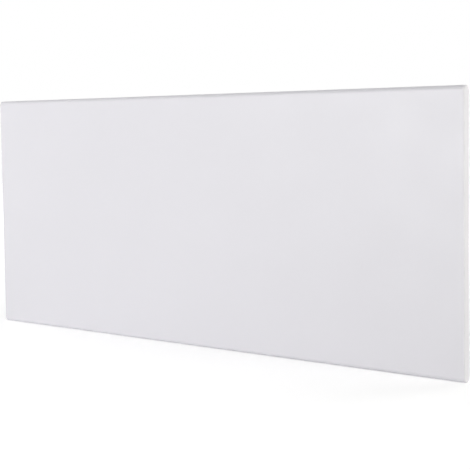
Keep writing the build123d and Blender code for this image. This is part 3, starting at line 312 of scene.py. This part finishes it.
def lens_plastic(name):
    """Red lens: clear tinted plastic with moulded prisms."""
    made, tree, shader = new_material(name)
    points = surface_points(tree)
    prisms = voronoi(tree, points, 1300).outputs["Distance"]
    haze = noise(tree, points, cells=700, detail=2)
    tone = blended(tree, prisms, LENS_RED, LENS_DEEP)
    dressed(tree, shader, tone, ranged(tree, haze, 0.08, 0.2))
    bumped(tree, shader, [(prisms, 0.0002, 0.4)])
    shader.inputs["Transmission Weight"].default_value = 0.45
    shader.inputs["IOR"].default_value = 1.49
    return made


def insulation(name, colour, stripe=None):
    """Silicone insulation with a fine matt skin; an earth lead has stripes of a second colour."""
    made, tree, shader = new_material(name)
    points = surface_points(tree)
    fine = noise(tree, points, cells=1700, detail=2)
    drift = noise(tree, points, cells=70, detail=3)
    tone = blended(tree, ranged(tree, drift, 0, 1), shade(colour, 0.88), shade(colour, 1.08))
    if stripe is not None:
        bands = add_node(tree, "ShaderNodeTexWave", wave_type="BANDS", bands_direction="DIAGONAL")
        bands.inputs["Scale"].default_value = 62
        tree.links.new(points, bands.inputs["Vector"])
        edge = ranged(tree, bands.outputs["Fac"], 0, 1, start=0.62, end=0.66)
        tone = blended(tree, edge, tone, stripe)
    dressed(tree, shader, tone, ranged(tree, fine, 0.45, 0.6))
    bumped(tree, shader, [(fine, 0.00006, 0.2)])
    return made


def soft_moulding(name):
    """White soft moulding with a faint dusty bloom and moulding grain."""
    made, tree, shader = new_material(name)
    points = surface_points(tree)
    bloom = noise(tree, points, cells=130, detail=5)
    grain = noise(tree, points, cells=1500, detail=3)
    tone = blended(tree, ranged(tree, bloom, 0, 1, start=0.4, end=0.75), INLET_WHITE, INLET_BLOOM)
    dressed(tree, shader, tone, ranged(tree, bloom, 0.6, 0.82))
    bumped(tree, shader, [(grain, 0.00008, 0.4)])
    return made


def plated_screw(name):
    """Zinc-plated fastener with a fine grain and slightly yellow patches."""
    made, tree, shader = new_material(name)
    points = surface_points(tree)
    grain = noise(tree, points, cells=2400, detail=2)
    patches = noise(tree, points, cells=260, detail=3)
    tone = blended(tree, ranged(tree, patches, 0, 1), SCREW_ZINC, SCREW_YELLOW)
    dressed(tree, shader, tone, ranged(tree, grain, 0.22, 0.4))
    bumped(tree, shader, [(grain, 0.00005, 0.3)])
    shader.inputs["Metallic"].default_value = 1
    return made


def ink(name, colour):
    """Pad-printed ink with a thin, uneven film."""
    made, tree, shader = new_material(name)
    film = noise(tree, surface_points(tree), cells=2200, detail=3)
    tone = blended(tree, ranged(tree, film, 0, 1), shade(colour, 0.85), shade(colour, 1.25))
    dressed(tree, shader, tone, ranged(tree, film, 0.35, 0.55))
    return made


FINISHES = {
    "panel_paint": powder_coat("panel_paint", PANEL_WHITE),
    "casing_paint": powder_coat("casing_paint", CASING_WHITE, rough=0.46),
    "zinc_steel": plated_steel("zinc_steel", ZINC),
    "grille_plastic": moulded("grille_plastic", GRILLE_WHITE, soft=0.05),
    "shield_aluminium": drawn_metal("shield_aluminium", SHEET_ALUMINIUM, 0.24, BRUSHED_ALONG, 0.25),
    "fin_aluminium": drawn_metal("fin_aluminium", EXTRUDED_ALUMINIUM, 0.34, EXTRUDED_ALONG, 0.5),
    "tube_steel": heated_steel("tube_steel"),
    "ceramic": fired_ceramic("ceramic"),
    "dark_plastic": moulded("dark_plastic", DARK_GREY, rough=0.44, grain=1600, depth=0.35),
    "white_plastic": moulded("white_plastic", CONTROL_WHITE, 0.4, grain=1500, depth=0.2, soft=0.08),
    "rocker_plastic": moulded("rocker_plastic", ROCKER_WHITE, 0.2, grain=2200, depth=0.06, soft=0.05),
    "brass": drawn_metal("brass", BRASS, 0.28, TURNED_UP, 0.3),
    "lamp_lens": lens_plastic("lamp_lens"),
    "copper": drawn_metal("copper", COPPER, 0.3, DRAWN_UP, 0.3),
    "block_plastic": moulded("block_plastic", BLOCK_IVORY, 0.48, grain=900, depth=0.15, soft=0.2),
    "brown_insulation": insulation("brown_insulation", LEAD_BROWN),
    "blue_insulation": insulation("blue_insulation", LEAD_BLUE),
    "green_insulation": insulation("green_insulation", LEAD_GREEN, stripe=LEAD_YELLOW),
    "inlet_rubber": soft_moulding("inlet_rubber"),
    "screw_steel": plated_screw("screw_steel"),
    "spring_steel": drawn_metal("spring_steel", SPRING_BLUE, 0.26, DRAWN_UP, 0.3),
}

for part in frame["record"]["subparts"]:
    shown = nodes[part["node"]]
    shown.data.materials.clear()
    shown.data.materials.append(FINISHES[part["material_slot"]])


# Printed figures and marks, laid out in millimetres and degrees on the surface that carries them
MILLIMETRE = 0.001
INK_THICKNESS = 0.05
INK_LIFT = 0.01

FIGURE_HEIGHT = 2.7
FIGURE_WIDTH_SHARE = 0.6
FIGURE_STROKE = 0.36
FIGURE_RING = 15.6
FIGURE_STEP = 45
TICK_RING = (14.5, 16.1)
TICK_STROKE = 0.26
DIAL_START = -90

POINTER_MARK = (3.2, 9.0)
POINTER_STROKE = 0.5

ROCKER_TILT = -10
ROCKER_MIDDLE_RISE = 1.4
ROCKER_CURVE = 17.0
ROCKER_MARK_OFFSET = 5.0
ROCKER_MARK_SIZE = 1.5
ROCKER_STROKE = 0.45

joints = {joint["name"]: joint for joint in frame["record"]["behaviour"]["joints"]}
knob_axis = Vector(joints["knob_turn"]["pos_m"]) / MILLIMETRE
rocker_axis = Vector(joints["rocker_tilt"]["pos_m"]) / MILLIMETRE
plate_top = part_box("control_bezel")[1].z / MILLIMETRE
pointer_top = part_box("thermostat_knob")[1].z / MILLIMETRE


def arc(centre, radii, start, end, steps=12):
    """Points of an elliptical arc between two angles in degrees."""
    angles = [radians(start + (end - start) * step / steps) for step in range(steps + 1)]
    return [(centre[0] + radii[0] * cos(angle), centre[1] + radii[1] * sin(angle)) for angle in angles]


# Lines of the figures 0 to 6, each with its height as 1 and its width as 0.6
FIGURES = (
    [arc((0.30, 0.50), (0.27, 0.50), 90, 450, steps=24)],
    [[(0.10, 0.76), (0.38, 1.00), (0.38, 0.00)]],
    [[*arc((0.30, 0.72), (0.26, 0.28), 165, -35), (0.03, 0.00), (0.58, 0.00)]],
    [[*arc((0.29, 0.76), (0.23, 0.24), 150, -80), *arc((0.29, 0.26), (0.27, 0.26), 80, -150)]],
    [[(0.44, 0.00), (0.44, 1.00), (0.02, 0.30), (0.60, 0.30)]],
    [[(0.53, 1.00), (0.12, 1.00), (0.07, 0.55), *arc((0.29, 0.33), (0.27, 0.33), 118, -150)]],
    [[(0.48, 1.00), (0.24, 0.72), *arc((0.31, 0.30), (0.26, 0.30), 160, 520, steps=24)]],
)


def stroke(path, width, lay):
    """Corners and faces of a thin raised line; lay turns a flat point and a height into a place."""
    corners = []
    faces = []
    for index, point in enumerate(path):
        before = Vector(path[max(index - 1, 0)])
        after = Vector(path[min(index + 1, len(path) - 1)])
        side = (after - before).normalized().orthogonal() * width / 2
        for sign, height in ((1, 0), (-1, 0), (-1, INK_THICKNESS), (1, INK_THICKNESS)):
            corners.append(lay(point[0] + sign * side.x, point[1] + sign * side.y, INK_LIFT + height))
    for index in range(len(path) - 1):
        first = 4 * index
        for corner in range(4):
            following = (corner + 1) % 4
            faces.append((first + corner, first + following, first + 4 + following, first + 4 + corner))
    last = 4 * (len(path) - 1)
    faces.append((3, 2, 1, 0))
    faces.append((last, last + 1, last + 2, last + 3))
    return corners, faces


def printed(name, body, finish, strokes):
    """One printed piece of several strokes, which rides on a body and wears the given finish."""
    corners = []
    faces = []
    for stroke_corners, stroke_faces in strokes:
        faces.extend(tuple(corner + len(corners) for corner in face) for face in stroke_faces)
        corners.extend(stroke_corners)
    mesh = bpy.data.meshes.new(name)
    mesh.from_pydata([Vector(corner) * MILLIMETRE for corner in corners], [], faces)
    mesh.materials.append(finish)
    piece = bpy.data.objects.new(name, mesh)
    scene.collection.objects.link(piece)
    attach(piece, body)


grey_ink = ink("grey_ink", INK_GREY)


def dial_place(x, y, height):
    """A point beside the knob's axis, on the control bezel."""
    return knob_axis.x + x, knob_axis.y + y, plate_top + height


def pointer_place(x, y, height):
    """A point beside the knob's axis, on the knob's raised pointer."""
    return knob_axis.x + x, knob_axis.y + y, pointer_top + height


def rocker_place(x, y, height):
    """A point on the rocker's hollow top, with the rocker at rest."""
    rise = ROCKER_MIDDLE_RISE + ROCKER_CURVE - (ROCKER_CURVE**2 - y**2) ** 0.5 + height
    tilt = radians(ROCKER_TILT)
    return (
        rocker_axis.x + x,
        rocker_axis.y + y * cos(tilt) - rise * sin(tilt),
        rocker_axis.z + y * sin(tilt) + rise * cos(tilt),
    )


def dial_strokes():
    """The dial's figures, read from the front, and a tick halfway between each two."""
    strokes = []
    for value, lines in enumerate(FIGURES):
        turn = radians(DIAL_START - FIGURE_STEP * value)
        left = FIGURE_RING * cos(turn) - FIGURE_WIDTH_SHARE * FIGURE_HEIGHT / 2
        bottom = FIGURE_RING * sin(turn) - FIGURE_HEIGHT / 2
        for line in lines:
            path = [(left + x * FIGURE_HEIGHT, bottom + y * FIGURE_HEIGHT) for x, y in line]
            strokes.append(stroke(path, FIGURE_STROKE, dial_place))
    for gap in range(len(FIGURES) - 1):
        turn = radians(DIAL_START - FIGURE_STEP * (gap + 0.5))
        path = [(ring * cos(turn), ring * sin(turn)) for ring in TICK_RING]
        strokes.append(stroke(path, TICK_STROKE, dial_place))
    return strokes


pointer_line = [(0, -reach) for reach in POINTER_MARK]
off_ring = arc((0, ROCKER_MARK_OFFSET), (ROCKER_MARK_SIZE, ROCKER_MARK_SIZE), 0, 360, steps=28)
on_bar = [(0, -ROCKER_MARK_OFFSET + step * ROCKER_MARK_SIZE) for step in (-1, -0.5, 0, 0.5, 1)]

pointer_strokes = [stroke(pointer_line, POINTER_STROKE, pointer_place)]
rocker_strokes = [stroke(line, ROCKER_STROKE, rocker_place) for line in (off_ring, on_bar)]

printed("dial_figures", "heater", grey_ink, dial_strokes())
printed("pointer_mark", "knob", grey_ink, pointer_strokes)
printed("rocker_marks", "rocker", grey_ink, rocker_strokes)


# Floor at the heater's lowest point, in metres. It reads white to the camera and keeps the shadow. Its
# glow is dimmer near the heater, which paints shade on the floor around the heater's base.
FLOOR_HALF = 6.0
FLOOR_GREY = 0.92
FLOOR_REACH = 2.2
FLOOR_STRETCH = (0.45, 1, 1)
# Glow by place on the distance ramp: low near the heater as a painted shadow around its base, rising
# far off to keep the floor white
FLOOR_GLOWS_AND_PAINTED_SHADE = ((0.0, 0.355), (0.2, 0.5), (1.0, 0.92))


def seen_directly(tree):
    """One for rays from the camera, a mirror or glass, and nought for all others."""
    path = add_node(tree, "ShaderNodeLightPath")
    first = add_node(tree, "ShaderNodeMath", operation="MAXIMUM")
    second = add_node(tree, "ShaderNodeMath", operation="MAXIMUM")
    tree.links.new(path.outputs["Is Camera Ray"], first.inputs[0])
    tree.links.new(path.outputs["Is Glossy Ray"], first.inputs[1])
    tree.links.new(first.outputs[0], second.inputs[0])
    tree.links.new(path.outputs["Is Transmission Ray"], second.inputs[1])
    return second.outputs[0]


def floor_finish():
    """Pale floor; its glow shows only to the camera and in reflections, and rises with distance: dimmer
    near the heater as a painted shadow round its base, brighter far off where the lamps' light falls
    off.
    """
    made = bpy.data.materials.new("floor_finish")
    made.use_nodes = True
    tree = made.node_tree
    tree.nodes.clear()
    paint = add_node(tree, "ShaderNodeBsdfDiffuse")
    paint.inputs["Color"].default_value = (FLOOR_GREY, FLOOR_GREY, FLOOR_GREY, 1)
    away = add_node(tree, "ShaderNodeVectorMath", operation="LENGTH")
    tree.links.new(surface_points(tree, FLOOR_STRETCH), away.inputs[0])
    distance = ranged(tree, away.outputs["Value"], 0, 1, start=0, end=FLOOR_REACH)
    glow_with_painted_shade = ramp(tree, distance, [(place, (glow, glow, glow)) for place, glow in FLOOR_GLOWS_AND_PAINTED_SHADE])
    scaled = add_node(tree, "ShaderNodeMath", operation="MULTIPLY")
    tree.links.new(seen_directly(tree), scaled.inputs[0])
    tree.links.new(glow_with_painted_shade, scaled.inputs[1])
    shine = add_node(tree, "ShaderNodeEmission")
    tree.links.new(scaled.outputs[0], shine.inputs["Strength"])
    both = add_node(tree, "ShaderNodeAddShader")
    tree.links.new(paint.outputs[0], both.inputs[0])
    tree.links.new(shine.outputs[0], both.inputs[1])
    output = add_node(tree, "ShaderNodeOutputMaterial")
    tree.links.new(both.outputs[0], output.inputs["Surface"])
    return made


floor_corners = [
    (x * FLOOR_HALF, y * FLOOR_HALF, cad_low.z) for x, y in ((-1, -1), (1, -1), (1, 1), (-1, 1))
]
floor_mesh = bpy.data.meshes.new("floor")
floor_mesh.from_pydata(floor_corners, [], [(0, 1, 2, 3)])
floor_mesh.materials.append(floor_finish())
floor = bpy.data.objects.new("floor", floor_mesh)
scene.collection.objects.link(floor)

# World: white where it is seen, a plain soft light elsewhere
WORLD_LIGHT = 0.15
WORLD_SEEN = 1

world = bpy.data.worlds.new("studio")
scene.world = world
world.use_nodes = True
sky = world.node_tree
sky.nodes.clear()
choice = add_node(sky, "ShaderNodeMixShader")
sky.links.new(seen_directly(sky), choice.inputs["Fac"])
for socket, strength in ((1, WORLD_LIGHT), (2, WORLD_SEEN)):
    light = add_node(sky, "ShaderNodeBackground")
    light.inputs["Color"].default_value = (1, 1, 1, 1)
    light.inputs["Strength"].default_value = strength
    sky.links.new(light.outputs[0], choice.inputs[socket])
sky_output = add_node(sky, "ShaderNodeOutputWorld")
sky.links.new(choice.outputs[0], sky_output.inputs["Surface"])

# Soft lamps: name, place and target in metres, side in metres, power in watts, colour
PLAIN_LIGHT = (1, 1, 1)
WARM_LIGHT = (1, 0.99, 0.925)
LAMPS = (
    ("front_lamp", (-1.3, -3.4, 0.12), (0, 0, 0), 2.0, 119, PLAIN_LIGHT),
    ("top_lamp", (0, 0.9, 2.4), (0, 0.1, 0), 1.8, 13, PLAIN_LIGHT),
    ("side_lamp", (3.5, -0.2, 0.2), (0.4, 0, 0), 1.6, 75, WARM_LIGHT),
    ("back_lamp", (0.6, 3.4, 0.2), (0, 0, 0), 2.0, 62, PLAIN_LIGHT),
    ("far_lamp", (-3.5, 0.3, 0.2), (-0.4, 0, 0), 1.6, 40, PLAIN_LIGHT),
)

for name, place, target, side, power, colour in LAMPS:
    lamp_data = bpy.data.lights.new(name, "AREA")
    lamp_data.shape = "SQUARE"
    lamp_data.size = side
    lamp_data.energy = power
    lamp_data.color = colour
    lamp = bpy.data.objects.new(name, lamp_data)
    lamp.location = place
    lamp.rotation_euler = (Vector(target) - Vector(place)).to_track_quat("-Z", "Y").to_euler()
    scene.collection.objects.link(lamp)

# Camera
camera_data = bpy.data.cameras.new("camera")
camera_data.sensor_width = CAMERA_SENSOR
camera_data.lens = CAMERA_LENS
camera = bpy.data.objects.new("camera", camera_data)
camera.location = CAMERA_PLACE
camera.rotation_euler = Euler([radians(angle) for angle in CAMERA_TURN])
scene.collection.objects.link(camera)
scene.camera = camera

scene.view_settings.view_transform = "Standard"
